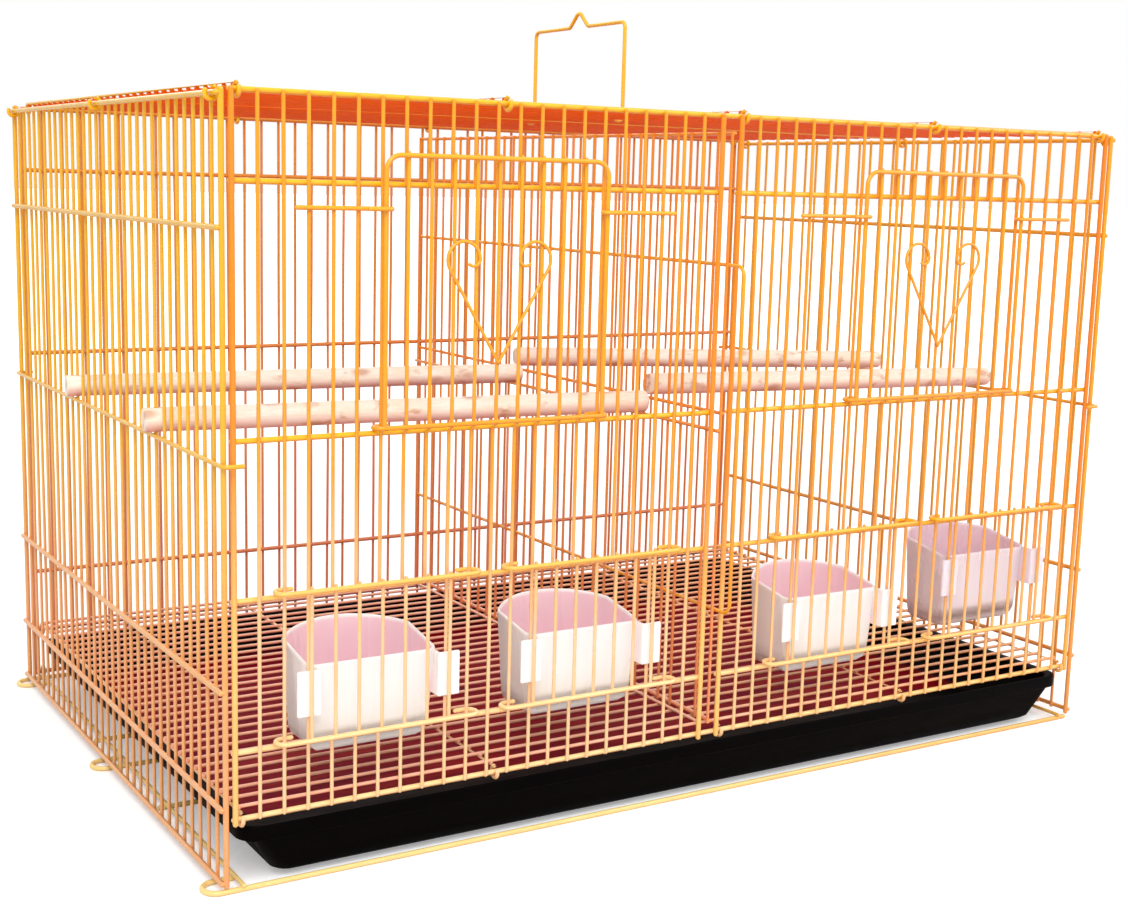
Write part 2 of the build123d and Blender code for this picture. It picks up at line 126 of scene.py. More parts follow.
def rounded(points, radius, steps=6):
    """A path of straight runs with its corners turned at one radius."""
    path = [Vector(points[0])]
    for before, corner, after in zip(points, points[1:], points[2:]):
        corner = Vector(corner)
        into = (corner - Vector(before)).normalized()
        out = (Vector(after) - corner).normalized()
        half_turn = into.angle(out) / 2
        reach = radius * math.tan(half_turn)
        start = corner - into * reach
        inward = (out - into * into.dot(out)).normalized()
        middle = start + inward * radius
        for k in range(steps + 1):
            angle = 2 * half_turn * k / steps
            path.append(middle - inward * radius * math.cos(angle) + into * radius * math.sin(angle))
    path.append(Vector(points[-1]))
    return path


def eyed_path(start, end, along):
    """A straight wire whose ends curl down and round into eyes."""
    first, last = (Vector(point) - Z * eye_radius for point in (start, end))
    return (arc(first, -along, Z, eye_radius, eye_turn + 90, -eye_turn, 20)
            + arc(last, along, Z, eye_radius, 90, -eye_turn, 20))


def deep_wires(level):
    """Wires at one height whose eyes turn round the rails of the front and the back."""
    return [eyed_path((x, front_rail_y, level), (x, back_rail_y, level), Y) for x in eye_places]


def hairpin_path(level, front, left, right):
    """A bar across the front whose ends turn back round the bars beside the opening."""
    back, tail = front_y + 3.4 * mm, 5 * mm
    middle, radius = (front + back) / 2, (back - front) / 2
    return [(left + tail, back, level), *arc((left, middle, level), X, Y, radius, 90, 180, 10),
            *arc((right, middle, level), X, Y, radius, -90, 180, 10), (right - tail, back, level)]


# Meshes and objects

def show(name, data):
    """An object of the scene with its data."""
    thing = bpy.data.objects.new(name, data)
    bpy.context.scene.collection.objects.link(thing)
    return thing


def to_mesh(shape, name):
    """The mesh of a bmesh, which is freed."""
    mesh = bpy.data.meshes.new(name)
    shape.to_mesh(mesh)
    shape.free()
    return mesh


def baked(thing):
    """The mesh that an object's modifiers leave. The object goes."""
    bpy.context.view_layer.update()
    seen = thing.evaluated_get(bpy.context.evaluated_depsgraph_get())
    mesh = bpy.data.meshes.new_from_object(seen)
    bpy.data.objects.remove(thing)
    return mesh


def skin(rings):
    """A shape through rings of points, with its first and last ring filled."""
    shape = bmesh.new()
    loops = [[shape.verts.new(point) for point in ring] for ring in rings]
    count = len(loops[0])
    for lower, upper in zip(loops, loops[1:]):
        for k in range(count):
            after = (k + 1) % count
            shape.faces.new((lower[k], lower[after], upper[after], upper[k]))
    shape.faces.new(reversed(loops[0]))
    shape.faces.new(loops[-1])
    return shape


# Node trees

def new_group(kind, name, inputs, outputs):
    """An empty node group: its tree, its inputs' sockets and its outputs' sockets."""
    tree = bpy.data.node_groups.new(name, kind)
    for in_out, sockets in (("INPUT", inputs), ("OUTPUT", outputs)):
        for label, socket in sockets.items():
            tree.interface.new_socket(label, in_out=in_out, socket_type="NodeSocket" + socket)
    given, made = tree.nodes.new("NodeGroupInput"), tree.nodes.new("NodeGroupOutput")
    return tree, given.outputs, made.inputs


def add(tree, kind, settings=None, out=0, **links):
    """One output of a new node, whose inputs are set to values or joined to sockets.

    An input goes by its name, with an underscore for a space, or by the letter i and its number.
    """
    node = tree.nodes.new(kind)
    for key, value in (settings or {}).items():
        setattr(node, key, value)
    for label, value in links.items():
        key = int(label[1:]) if label[0] == "i" and label[1:].isdigit() else label.replace("_", " ")
        if isinstance(value, bpy.types.NodeSocket):
            tree.links.new(value, node.inputs[key])
        else:
            node.inputs[key].default_value = value
    return node.outputs[out]


def calc(tree, operation, *values, kind="Math", out=0):
    """The result of a Math node, or of a VectorMath node."""
    inputs = {f"i{k}": value for k, value in enumerate(values)}
    return add(tree, "ShaderNode" + kind, {"operation": operation}, out, **inputs)


def scaled(tree, vector, factor):
    """A vector times a factor."""
    return add(tree, "ShaderNodeVectorMath", {"operation": "SCALE"}, Vector=vector, Scale=factor)


def cloud(tree, where, scale, detail, out="Fac", **more):
    """Noise over a vector."""
    return add(tree, "ShaderNodeTexNoise", None, out, Vector=where, Scale=scale, Detail=detail,
               **more)


def growing_tree(name, **inputs):
    """An empty geometry node tree with its inputs and a material."""
    return new_group("GeometryNodeTree", name,
                     {"Geometry": "Geometry", **inputs, "Material": "Material"},
                     {"Geometry": "Geometry"})


def tube(tree, curve, value):
    """A round wire along a curve."""
    ring = add(tree, "GeometryNodeCurvePrimitiveCircle", Resolution=value["Sides"],
               Radius=value["Radius"])
    return add(tree, "GeometryNodeCurveToMesh", Curve=curve, Profile_Curve=ring, Fill_Caps=True)


def finished(tree, geometry, value, made):
    """The tree, with smooth faces, its copies made real and their material."""
    smooth = add(tree, "GeometryNodeSetShadeSmooth", Geometry=geometry)
    real = add(tree, "GeometryNodeRealizeInstances", Geometry=smooth)
    coat = add(tree, "GeometryNodeSetMaterial", Geometry=real, Material=value["Material"])
    tree.links.new(coat, made[0])
    return tree


def bar_row_tree():
    """A row of slightly bowed bars, from the first bar's ends, a step and a count."""
    tree, value, made = growing_tree(
        "bar_row", Start="Vector", End="Vector", Step="Vector", Count="Int", Radius="Float",
        Bow="Float", Seed="Float", Sides="Int")
    rings_per_bar, noise_step = 12, 7.31
    line = add(tree, "GeometryNodeCurvePrimitiveLine", Start=value["Start"], End=value["End"])
    rings = add(tree, "GeometryNodeResampleCurve", Curve=line, Count=rings_per_bar)
    places = add(tree, "GeometryNodeMeshLine", Count=value["Count"], Offset=value["Step"])
    numbered = add(tree, "GeometryNodeStoreNamedAttribute",
                   {"data_type": "FLOAT", "domain": "POINT"}, Geometry=places, Name="bar",
                   Value=add(tree, "GeometryNodeInputIndex"))
    copies = add(tree, "GeometryNodeInstanceOnPoints", Points=numbered, Instance=rings)
    bars = add(tree, "GeometryNodeRealizeInstances", Geometry=copies)
    number = add(tree, "GeometryNodeInputNamedAttribute", {"data_type": "FLOAT"}, Name="bar")
    along = add(tree, "GeometryNodeSplineParameter", out="Factor")
    spot = add(tree, "ShaderNodeCombineXYZ", X=calc(tree, "MULTIPLY", number, noise_step),
               Y=along, Z=value["Seed"])
    sway = calc(tree, "SUBTRACT", cloud(tree, spot, 1.7, 1.0, "Color"), (0.5, 0.5, 0.5),
                kind="VectorMath")
    swell = calc(tree, "SINE", calc(tree, "MULTIPLY", along, math.pi))
    shift = scaled(tree, sway, calc(tree, "MULTIPLY", swell, value["Bow"]))
    bowed = add(tree, "GeometryNodeSetPosition", Geometry=bars, Offset=shift)
    return finished(tree, tube(tree, bowed, value), value, made)


def bent_wire_tree():
    """A round wire along each chain of edges, with a drop of coating over each end."""
    tree, value, made = growing_tree("bent_wire", Radius="Float", Sides="Int")
    path = add(tree, "GeometryNodeMeshToCurve", Mesh=value["Geometry"])
    ends = add(tree, "GeometryNodeCurveEndpointSelection", Start_Size=1, End_Size=1)
    drop = add(tree, "GeometryNodeMeshUVSphere", Segments=value["Sides"], Rings=6,
               Radius=value["Radius"])
    drops = add(tree, "GeometryNodeInstanceOnPoints", Points=path, Selection=ends, Instance=drop)
    joined = tree.nodes.new("GeometryNodeJoinGeometry")
    for part in (tube(tree, path, value), drops):
        tree.links.new(part, joined.inputs[0])
    return finished(tree, joined.outputs[0], value, made)


def weld_tree():
    """A bead of coating at each vertex, where two wires are welded."""
    tree, value, made = growing_tree("weld_beads", Size="Vector")
    bead = add(tree, "GeometryNodeMeshIcoSphere", Radius=1.0, Subdivisions=2)
    uneven = add(tree, "FunctionNodeRandomValue", {"data_type": "FLOAT"}, 1, i2=0.85, i3=1.15,
                 Seed=4)
    beads = add(tree, "GeometryNodeInstanceOnPoints", Points=value["Geometry"], Instance=bead,
                Scale=scaled(tree, value["Size"], uneven))
    return finished(tree, beads, value, made)


bar_row = bar_row_tree()
bent_wire = bent_wire_tree()
weld_beads = weld_tree()


def grown(tree, points, edges, **values):
    """The mesh that a tree grows on points and edges."""
    base = bpy.data.meshes.new("base")
    base.from_pydata(points, edges, [])
    grower = show("grower", base)
    modifier = grower.modifiers.new("grow", "NODES")
    modifier.node_group = tree
    for item in tree.interface.items_tree:
        if item.in_out == "INPUT" and item.name in values:
            modifier[item.identifier] = values[item.name]
    return baked(grower)


def straight_bars(start, reach, step, count, diameter, material, bow, seed):
    """A row of thin, slightly bowed bars as one mesh."""
    return grown(bar_row, [], [], Start=start, End=start + reach, Step=step, Count=count,
                 Radius=diameter / 2, Bow=bow, Seed=seed, Sides=10, Material=material)


def wires(paths, diameter, material, sides=12):
    """Bent wires along lists of points as one mesh."""
    points, edges = [], []
    for path in paths:
        first = len(points)
        points += path
        edges += [(k, k + 1) for k in range(first, len(points) - 1)]
    return grown(bent_wire, points, edges, Radius=diameter / 2, Sides=sides, Material=material)


def welds(places, material, size=bead_size):
    """Beads of coating at each place as one mesh."""
    return grown(weld_beads, places, [], Size=size, Material=material)


def merged(name, *meshes):
    """One object, at the origin, of several meshes with their materials."""
    gathered = bmesh.new()
    materials = []
    for mesh in meshes:
        first = len(gathered.faces)
        gathered.from_mesh(mesh)
        gathered.faces.ensure_lookup_table()
        slots = []
        for material in mesh.materials:
            if material not in materials:
                materials.append(material)
            slots.append(materials.index(material))
        for face in gathered.faces[first:]:
            face.material_index = slots[face.material_index]
    result = to_mesh(gathered, name)
    for material in materials:
        result.materials.append(material)
    return show(name, result)


def place(piece, body, node, slot):
    """Puts a finished piece in for its node."""
    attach(piece, body)
    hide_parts(node)


# Shaders

def linear(red, green, blue):
    """A colour given as 0-255 screen values, for a shader."""
    def channel(value):
        share = value / 255
        return share / 12.92 if share <= 0.04045 else ((share + 0.055) / 1.055) ** 2.4
    return (channel(red), channel(green), channel(blue), 1)


def mix_colour(tree, factor, low, high, blend="MIX"):
    """The colour that a Mix node puts out."""
    return add(tree, "ShaderNodeMix", {"data_type": "RGBA", "blend_type": blend}, 2,
               i0=factor, i6=low, i7=high)


def spread(tree, value, low, high, to_low=0.0, to_high=1.0):
    """A value taken from one range to another, held at the ends."""
    return add(tree, "ShaderNodeMapRange", i0=value, i1=low, i2=high, i3=to_low, i4=to_high)


def between(tree, share, low, high):
    """The value at a share, 0 to 1, of the way between two others."""
    return spread(tree, share, 0.0, 1.0, low, high)


def object_place(tree):
    """The place on the object."""
    return add(tree, "ShaderNodeTexCoord", out="Object")


def surface_normal(tree):
    """The direction that the surface faces."""
    return add(tree, "ShaderNodeNewGeometry", out="Normal")


def axes_of(tree, vector):
    """A vector's X, Y and Z outputs."""
    return add(tree, "ShaderNodeSeparateXYZ", Vector=vector).node.outputs


def stretched(tree, where, scale, shift=(0, 0, 0)):
    """A place scaled along each axis and shifted."""
    return add(tree, "ShaderNodeMapping", Vector=where, Scale=scale, Location=shift)


def new_material(name):
    """A material and its tree."""
    material = bpy.data.materials.new(name)
    material.use_nodes = True
    return material, material.node_tree


def set_shader(tree, **values):
    """Sets inputs of the Principled shader by name, with an underscore for a space."""
    shader = tree.nodes["Principled BSDF"]
    for label, value in values.items():
        shader.inputs[label.replace("_", " ")].default_value = value


def join_shader(tree, colour, roughness, height, strength, distance):
    """Joins a colour, a roughness and a bumped height to the Principled shader."""
    bump = add(tree, "ShaderNodeBump", Strength=strength, Distance=distance, Height=height)
    shader = tree.nodes["Principled BSDF"]
    for label, socket in (("Base Color", colour), ("Roughness", roughness), ("Normal", bump)):
        tree.links.new(socket, shader.inputs[label])


def coating_group():
    """Dipped coating: paler low down, uneven in colour and gloss, with painted shade that deepens it
    below and to the right.
    """
    # The Under colour is painted shade, for the faces turned away from the light.
    tree, value, made = new_group(
        "ShaderNodeTree", "coating",
        {"Low": "Color", "High": "Color", "Under": "Color", "Under Share": "Float",
         "Low Height": "Float", "High Height": "Float"},
        {"Color": "Color", "Roughness": "Float", "Height": "Float"})
    slant = 0.1
    right_shade_tint, patch_tint = (0.98, 0.8, 0.45, 1), (0.9, 0.72, 0.52, 1)
    spot = object_place(tree)
    axes = axes_of(tree, spot)
    height = calc(tree, "MULTIPLY_ADD", axes["X"], slant, axes["Z"])
    rise = spread(tree, height, value["Low Height"], value["High Height"])
    colour = mix_colour(tree, rise, value["Low"], value["High"])
    # Painted shade: the coating is multiplied deeper orange towards the cage's right, its less lit
    # side.
    right = spread(tree, axes["X"], -0.05, 0.3)
    colour = mix_colour(tree, right, colour, right_shade_tint, "MULTIPLY")
    # Painted shade: faces turned down and to the right, away from the light, are mixed towards the
    # Under colour by its share.
    facing = calc(tree, "DOT_PRODUCT", surface_normal(tree), (-0.5, 0.0, 0.87),
                  kind="VectorMath", out="Value")
    under = calc(tree, "MULTIPLY", spread(tree, facing, 0.3, -0.75), value["Under Share"])
    colour = mix_colour(tree, under, colour, value["Under"])
    patch = spread(tree, cloud(tree, spot, 55.0, 3.0), 0.35, 0.68)
    colour = mix_colour(tree, between(tree, patch, 0.0, 0.35), colour, patch_tint, "MULTIPLY")
    tree.links.new(colour, made["Color"])
    tree.links.new(between(tree, patch, 0.24, 0.42), made["Roughness"])
    tree.links.new(cloud(tree, spot, 420.0, 2.0), made["Height"])
    return tree


coating = coating_group()


def coated_wire(name, low, high, under, under_share, low_height, high_height, gloss=1.0):
    """Steel wire dipped in glossy coloured plastic, its colours as 0-255 screen values; the under
    colour is painted shade on the faces turned from the light.
    """
    material, tree = new_material(name)
    finish = add(tree, "ShaderNodeGroup", {"node_tree": coating}, Low=linear(*low),
                 High=linear(*high), Under=linear(*under), Under_Share=under_share,
                 Low_Height=low_height, High_Height=high_height).node.outputs
    join_shader(tree, finish["Color"], finish["Roughness"], finish["Height"], 0.25, 0.2 * mm)
    set_shader(tree, Coat_Weight=0.45 * gloss, Coat_Roughness=0.1,
               Specular_IOR_Level=0.4 * gloss)
    return material


yellow = (250, 196, 16)
golden = (244, 166, 18)
# Painted shade: the deep orange of the coating's shaded undersides, used as most coats' under
# colour.
shade_orange = (224, 88, 4)
cream = (255, 214, 162)
salmon = (255, 184, 152)
# Painted shade: the top's bars are given the deep orange of their shaded undersides instead of the
# cage's own yellow.
top_shade_orange = (242, 104, 4)

front_coat = coated_wire("front_coat", cream, golden, shade_orange, 0.4, 0.1, 0.19)
rail_coat = coated_wire("rail_coat", (255, 226, 162), yellow, shade_orange, 0.5, 0.07, 0.17)
side_coat = coated_wire("side_coat", (240, 174, 112), (240, 186, 30), shade_orange, 0.4, 0.05, 0.2)
# Painted light: the back bars' duller, paler tan-orange stands in for the glare of the bright
# backdrop behind them.
back_coat = coated_wire("back_coat", (226, 140, 98), (228, 146, 50), shade_orange, 0.4, 0.1, 0.3)
top_coat = coated_wire("top_coat", top_shade_orange, top_shade_orange, (236, 82, 0), 0.7, 0.3, 0.4, gloss=0.2)
grate_coat = coated_wire("grate_coat", salmon, (255, 200, 172), (236, 112, 86), 0.4, 0.0, 0.05)
base_coat = coated_wire("base_coat", (253, 226, 146), (250, 210, 134), salmon, 0.4, 0.0, 0.03)
door_coat = coated_wire("door_coat", golden, (250, 184, 14), shade_orange, 0.5, 0.2, 0.4)
post_coat = coated_wire("post_coat", (255, 208, 120), (246, 150, 10), shade_orange, 0.45, 0.09, 0.2)
divider_coat = coated_wire("divider_coat", (240, 150, 100), (242, 146, 20), shade_orange, 0.45,
                           0.05, 0.2)


# Front panel

door_edges = [(front_bars[first], front_bars[last]) for first, last in ((6, 16), (30, 40))]
gate_firsts, gate_span = (2, 12, 26, 36), 8
gate_edges = [(front_bars[k], front_bars[k + gate_span]) for k in gate_firsts]
feeder_edges = [(front_bars[k + 1], front_bars[k + gate_span - 1]) for k in gate_firsts]


def inside(x, edges):
    """Whether a bar's place is between the edge bars of one of the openings."""
    return any(left < x < right for left, right in edges)


def front_bar_runs(x):
    """The stretches of one upright bar of the front, low to high."""
    stops = [front_low]
    if inside(x, feeder_edges):
        stops += [feeder_low, feeder_top]
    if inside(x, door_edges):
        stops += [front_middle, front_upper]
    stops.append(front_top)
    return list(zip(stops[::2], stops[1::2]))


def crossings(x, levels):
    """The welds of one upright front bar on the rails that it reaches."""
    for low, high in front_bar_runs(x):
        for level in levels:
            if low - mm < level < high + mm:
                yield x, (front_y + front_rail_y) / 2, level


def build_front():
    """Front panel: posts, rails and bars, open at its slot, doors and feeders."""
    draw = random.Random(11)
    levels = (front_low, feeder_low, feeder_top, front_middle, front_upper, front_top)
    bars, beads, rails = [], [], []
    for x in front_bars:
        beads += crossings(x, levels)
        if x in front_posts:
            continue
        for low, high in front_bar_runs(x):
            sway = Vector((draw.uniform(-0.5, 0.5), draw.uniform(-0.25, 0.25), 0)) * mm
            sway *= (high - low) / front_top
            bars.append([(x, front_y, low), Vector((x, front_y, (low + high) / 2)) + sway,
                         (x, front_y, high)])
    for level in levels:
        spans = [(-half_width, half_width)]
        if level not in (front_low, front_top):
            spans = [(-half_width, slot_posts[0]), (slot_posts[1], half_width)]
        for left, right in spans:
            rails += straight(0, left, right, [(front_rail_y, level)])
    posts = straight(2, front_low - rail_wire / 2, cage_height - rail_wire / 2,
                     [(x, front_y) for x in front_posts])
    return merged("front_panel_wires", wires(bars, bar_wire, front_coat, 10),
                  wires(posts, rail_wire, post_coat), wires(rails, rail_wire, rail_coat),
                  welds(beads, rail_coat))


# Door guides

door_y = front_y - bar_wire / 2 - loop_wire + weld_sink - run_gap - frame_wire / 2
guide_y = front_y - (bar_wire + loop_wire) / 2 + weld_sink
guide_height = 344 * mm
guide_reach, guide_tip = 46 * mm, 10 * mm


def build_guides():
    """The hooks that hold the doors' legs."""
    radius = guide_y - door_y
    hooks = [[(leg_x + turn * guide_reach, guide_y, guide_height),
              *arc((leg_x, door_y, guide_height), X, Y, radius, 90, turn * 180, 12),
              (leg_x + turn * guide_tip, door_y - radius, guide_height)]
             for edges in door_edges for leg_x, turn in zip(edges, (-1, 1))]
    return merged("door_guide_hooks", wires(hooks, loop_wire, door_coat))


# Back panel

base_rail_z = rail_wire + loop_wire / 2 - weld_sink
back_foot = base_rail_z + eye_radius


def build_back():
    """Back panel: bars and rails."""
    low = back_foot - rail_wire / 2
    levels = (back_foot, front_low, *back_rails, front_top)
    bars = straight_bars(Vector((front_bars[1], back_y, low)), Z * (cage_height - low),
                         X * bar_pitch, front_gaps - 1, bar_wire, back_coat, 2.2 * mm, 12.0)
    posts = straight(2, low, cage_height - rail_wire / 2,
                     [(-half_width, back_y), (half_width, back_y)])
    rails = straight(0, -half_width, half_width, [(back_rail_y, z) for z in levels])
    beads = [(x, (back_y + back_rail_y) / 2, z) for x in front_bars for z in levels]
    return merged("back_panel_wires", bars, wires(posts, rail_wire, back_coat),
                  wires(rails, rail_wire, back_coat), welds(beads, back_coat))


# Top panel

top_eye_z = front_top + eye_radius
top_bar_z = top_eye_z - (loop_wire + bar_wire) / 2 + weld_sink
side_eye_z = top_eye_z - loop_wire + weld_sink
side_top_z = side_eye_z - eye_radius


def row_welds(level, material):
    """The welds of the rows of bars on the deep wires."""
    return welds([(x, y, level) for x in eye_places for y in rows], material)


def build_top():
    """Top panel: close bars under long wires whose ends curl round the rails."""
    halves = [straight_bars(Vector((-cross_half, start, top_bar_z)), X * 2 * cross_half,
                            Y * row_pitch, row_gaps // 2 - 1, bar_wire, top_coat, 1.0 * mm,
                            start * 30)
              for start in (-row_end + row_pitch, row_pitch)]
    across = [eyed_path((-side_rail_x, y, side_eye_z), (side_rail_x, y, side_eye_z), X)
              for y in (-row_end, 0, row_end)]
    return merged("top_panel_wires", *halves, wires(deep_wires(top_eye_z), loop_wire, rail_coat),
                  wires(across, loop_wire, rail_coat),
                  row_welds((top_bar_z + top_eye_z) / 2, top_coat))


# Side panels

def build_side(side, name):
    """One side panel with the rail whose ends hook round the front and back."""
    low, high = side_bottom - rail_wire / 2, side_top_z + rail_wire / 2
    levels = (side_bottom, *side_rails, side_top_z)
    bars = straight_bars(Vector((side * side_x, front_y + side_pitch, low)), Z * (high - low),
                         Y * side_pitch, side_gaps - 1, bar_wire, side_coat, 2.0 * mm, 3.0 * side)
    posts = straight(2, low, high, [(side * side_x, y) for y in (front_y, back_y)])
    rails = straight(1, front_y, back_y, [(side * side_rail_x, z) for z in levels])
    hook_x = side_x + (bar_wire + loop_wire) / 2 - weld_sink
    tip_x = half_width - rail_wire
    near, far = front_y - (rail_wire + loop_wire), back_y + (rail_wire + loop_wire)
    hooked = [(side * x, y, side_hook_rail)
              for x, y in ((tip_x, near), (hook_x, near), (hook_x, far), (tip_x, far))]
    beads = [(side * (side_x + side_rail_x) / 2, y, z)
             for y in side_bars for z in (*levels, side_hook_rail)]
    return merged(name + "_wires", bars, wires(posts + rails, rail_wire, side_coat),
                  wires([rounded(hooked, rail_wire)], loop_wire, side_coat),
                  welds(beads, side_coat))


# Floor grate and the divider's track

grate_eye_z = front_low + eye_radius
grate_bar_z = grate_eye_z + (loop_wire + bar_wire) / 2 - weld_sink
divider_bar, divider_rail = 1.8 * mm, 2.2 * mm
divider_rail_x = (divider_bar + divider_rail) / 2 - weld_sink
track_x = divider_rail_x + divider_rail / 2 + run_gap + bar_wire / 2
track_z = grate_bar_z + bar_wire - weld_sink
left_ledge, right_ledge = 220.2 * mm, 230.2 * mm


def build_grate():
    """The wire floor above the tray."""
    bars = straight_bars(Vector((-cross_half, -row_end, grate_bar_z)), X * 2 * cross_half,
                         Y * row_pitch, row_gaps + 1, bar_wire, grate_coat, 0.8 * mm, 5.0)
    return merged("floor_grate_wires", bars, wires(deep_wires(grate_eye_z), loop_wire, front_coat),
                  row_welds((grate_bar_z + grate_eye_z) / 2, grate_coat))


def build_track():
    """The two wires that guide the divider."""
    paths = straight(1, -row_end, row_end, [(slot_x + side * track_x, track_z) for side in (-1, 1)])
    return merged("divider_track_wires", wires(paths, bar_wire, grate_coat, 10))


# Base frame

foot_half, foot_reach = 7.5 * mm, 7.2 * mm
foot_end, base_rail_end = 3 * mm, 1.5 * mm
runner_shares = (0.31, 0.63)
finger_step, finger_height = 3.9 * mm, 24 * mm
base_weld_rise = 0.3 * mm


def build_base():
    """The open base: cross wires with foot loops on the left, side rails and the finger."""
    base_z = rail_wire / 2
    foot_x = -half_width - foot_reach
    feet = [[(half_width + foot_end, y, base_z),
             *arc((foot_x, y + inward * foot_half, base_z), X, Y, foot_half, -inward * 90,
                  -inward * 180, 14),
             (-end_eye_x, y + inward * 2 * foot_half, base_z)]
            for y, inward in ((front_y, 1), (0, 1), (back_y, -1))]
    runners = [front_y + share * cage_depth for share in runner_shares]
    feet += straight(0, -half_width, half_width, [(y, base_z) for y in runners])
    rails = [[(x, front_y - base_rail_end, base_rail_z),
              *arc((x, back_rail_y, back_foot), Y, Z, eye_radius, -90, eye_turn, 20)]
             for x in end_eyes]
    rails += straight(2, base_z, finger_height - loop_wire / 2, [(-end_eye_x - finger_step, 0)])
    beads = [(x, y, (base_z + base_rail_z) / 2 + base_weld_rise)
             for x in end_eyes for y in (front_y, 0, back_y, *runners)]
    return merged("base_frame_wires", wires(feet, rail_wire, base_coat),
                  wires(rails, loop_wire, base_coat), welds(beads, base_coat))


# Main doors and their hearts

door_low = front_middle + rail_wire / 2 + eye_gap + frame_wire / 2
door_top = 370.5 * mm
door_corner = 8 * mm
grid_step = (frame_wire + bar_wire) / 2 - weld_sink
door_grid_y = door_y + grid_step
heart_y = door_grid_y - (bar_wire + heart_wire) / 2 + weld_sink
heart_drop = 42.2 * mm
heart_width, heart_height = 61 * mm, 63 * mm
lobe_radius, lobe_turn = 9.4 * mm, 205
scroll_radius, scroll_turn = 3.8 * mm, 135


def grid_meshes(left, right, frame_y, grid_y, levels, bar_coat, bead_coat):
    """Upright bars behind the two cross bars of a door or a gate, with their welds."""
    columns = [x for x in front_bars if left < x < right]
    bars = straight(2, levels[0] - frame_wire / 2, levels[1] + frame_wire / 2,
                    [(x, grid_y) for x in columns])
    beads = [(x, (frame_y + grid_y) / 2, z) for x in columns for z in levels]
    return wires(bars, bar_wire, bar_coat, 10), welds(beads, bead_coat)


def build_door(left, right, word):
    """One main door: arched frame, bars behind it and the hooked bottom bar."""
    levels = (door_low, door_top)
    arch = [(x, door_y, z) for x, z in zip((left, left, right, right), levels + levels[::-1])]
    return merged(f"main_door_{word}_wires",
                  wires([rounded(arch, door_corner, 8)], frame_wire, door_coat),
                  wires([hairpin_path(door_low, door_y, left, right)], frame_wire, door_coat),
                  *grid_meshes(left, right, door_y, door_grid_y, levels, door_coat, door_coat))


def build_heart(left, right, word):
    """The wire heart on one door."""
    tip = Vector(((left + right) / 2, heart_y, door_top - heart_drop - heart_height))
    lobe_x, lobe_z = heart_width / 2 - lobe_radius, heart_height - lobe_radius
    flank_angle = (math.atan2(lobe_z, lobe_x)
                   - math.asin(lobe_radius / math.hypot(lobe_x, lobe_z)))
    start = math.degrees(flank_angle) - 90
    end = math.radians(start + lobe_turn)
    halves = []
    for hand in (-1, 1):
        across = X * hand
        lobe_centre = tip + across * lobe_x + Z * lobe_z
        outward = across * math.cos(end) + Z * math.sin(end)
        scroll_centre = lobe_centre + outward * (lobe_radius - scroll_radius)
        halves.append([tip, *arc(lobe_centre, across, Z, lobe_radius, start, lobe_turn, 22),
                       *arc(scroll_centre, across, Z, scroll_radius, start + lobe_turn,
                            scroll_turn, 12)[1:]])
    return merged(f"door_heart_{word}_wire", wires(halves, heart_wire, door_coat, 10))


# Feeder gates

ear_wall = 1.8 * mm
ear_y = front_y - bar_wire / 2 - run_gap - ear_wall
gate_grid_y = ear_y - run_gap - bar_wire / 2
gate_y = gate_grid_y - grid_step
gate_levels = [rail + rail_wire / 2 + eye_gap + frame_wire / 2 for rail in (feeder_low, feeder_top)]


def build_gate(number):
    """One feeder gate: bars between two hooked cross bars."""
    left, right = gate_edges[number - 1]
    hairpins = [hairpin_path(z, gate_y, left, right) for z in gate_levels]
    return merged(f"feeder_gate_{number}_wires", wires(hairpins, frame_wire, rail_coat),
                  *grid_meshes(left, right, gate_y, gate_grid_y, gate_levels, front_coat,
                               rail_coat))


# Divider

divider_back, divider_gaps = 190 * mm, 30
divider_top = front_top - 9.5 * mm
divider_bead = Vector((1.0, 1.2, 1.2)) * mm
pull_high, pull_low = 315.5 * mm, 114 * mm
pull_reach, pull_bend = 14 * mm, 6 * mm


def build_divider():
    """The sliding divider: bars, rails, ledges for the perches and the pull loop."""
    low = grate_bar_z + bar_wire / 2 + run_gap
    pitch = (divider_back - front_y) / divider_gaps
    bars = straight_bars(Vector((slot_x, front_y, low)),
                         Z * (divider_top + divider_rail / 2 - low), Y * pitch,
                         divider_gaps + 1, divider_bar, divider_coat, 0.5 * mm, 9.0)
    near, far = slot_x - divider_rail_x, slot_x + divider_rail_x
    runs = [(far, low + divider_rail / 2), (far, divider_top), (near, left_ledge),
            (far, right_ledge)]
    front = front_y - pull_reach
    pull = [(far, y, z) for y, z in ((divider_back, pull_high), (front, pull_high),
                                     (front, pull_low), (divider_back, pull_low))]
    beads = [((x + slot_x) / 2, front_y + pitch * k, z) for k in range(divider_gaps + 1)
             for x, z in (*runs, (far, pull_high), (far, pull_low))]
    return merged("divider_wires", bars,
                  wires(straight(1, front_y, divider_back, runs), divider_rail, divider_coat),
                  wires([rounded(pull, pull_bend)], divider_rail, door_coat),
                  welds(beads, divider_coat, divider_bead))


# Handle

handle_half, handle_rise, handle_bend = 54.7 * mm, 58 * mm, 4 * mm
hump_half, hump_rise = 11 * mm, 10 * mm


def build_handle():
    """The carrying bail, whose eyes turn on the top's middle wire."""
    radius = (loop_wire + frame_wire) / 2 + eye_gap
    middle = -row_pitch
    near, far = middle - handle_half, middle + handle_half
    top = top_eye_z + handle_rise
    bail = [(eye_step + radius, y, z) for y, z in (
        (near, top_eye_z), (near, top), (middle - hump_half, top), (middle, top + hump_rise),
        (middle + hump_half, top), (far, top), (far, top_eye_z))]
    path = [*arc((eye_step, near, top_eye_z), X, Z, radius, -eye_turn, eye_turn, 20),
            *rounded(bail, handle_bend)[1:-1],
            *arc((eye_step, far, top_eye_z), X, Z, radius, 0, -eye_turn, 20)]
    return merged("handle_bail", wires([path], frame_wire, rail_coat))


# Feed cups

